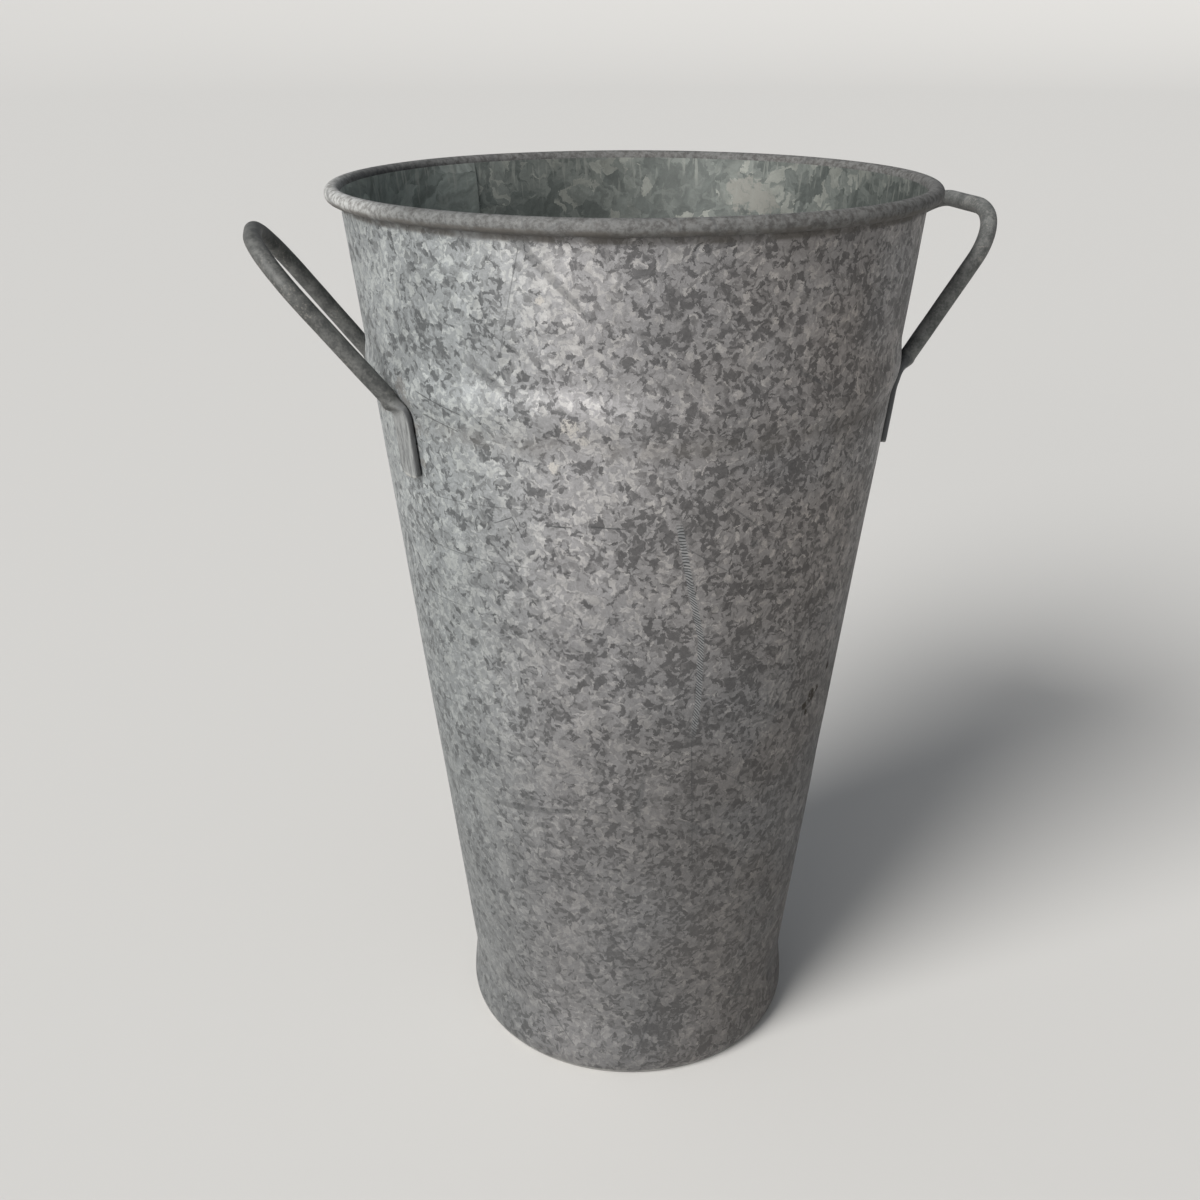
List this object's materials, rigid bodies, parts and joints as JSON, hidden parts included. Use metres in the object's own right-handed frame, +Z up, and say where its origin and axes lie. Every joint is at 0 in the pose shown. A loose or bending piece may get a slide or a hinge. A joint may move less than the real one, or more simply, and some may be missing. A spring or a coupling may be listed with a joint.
{
  "type": "galvanised flower bucket",
  "caption": "Tall tapered sheet steel bucket with a rolled wired rim, a swaged band, a rounded foot and bent rod side handles, for cut flowers or water.",
  "frame": {"origin": "centre of the ring that the bucket rests on", "axes": "+Z up along the bucket's axis; the two handles point along -X and +X"},
  "size_m": [0.3014, 0.2389, 0.38],
  "materials": {
    "galvanised_sheet": "hot-dip zinc with a dull grey spangle, lightly weathered",
    "galvanised_bottom": "hot-dip zinc with a large spangle, dull",
    "galvanised_rod": "dull dark zinc, smooth",
    "rim_wire": "plain drawn wire"
  },
  "bodies": {
    "root": {"body": "galvanised_sheet", "rim_wire": "rim_wire", "bottom": "galvanised_bottom", "handle_left": "galvanised_rod", "handle_right": "galvanised_rod"}
  },
  "joints": []
}
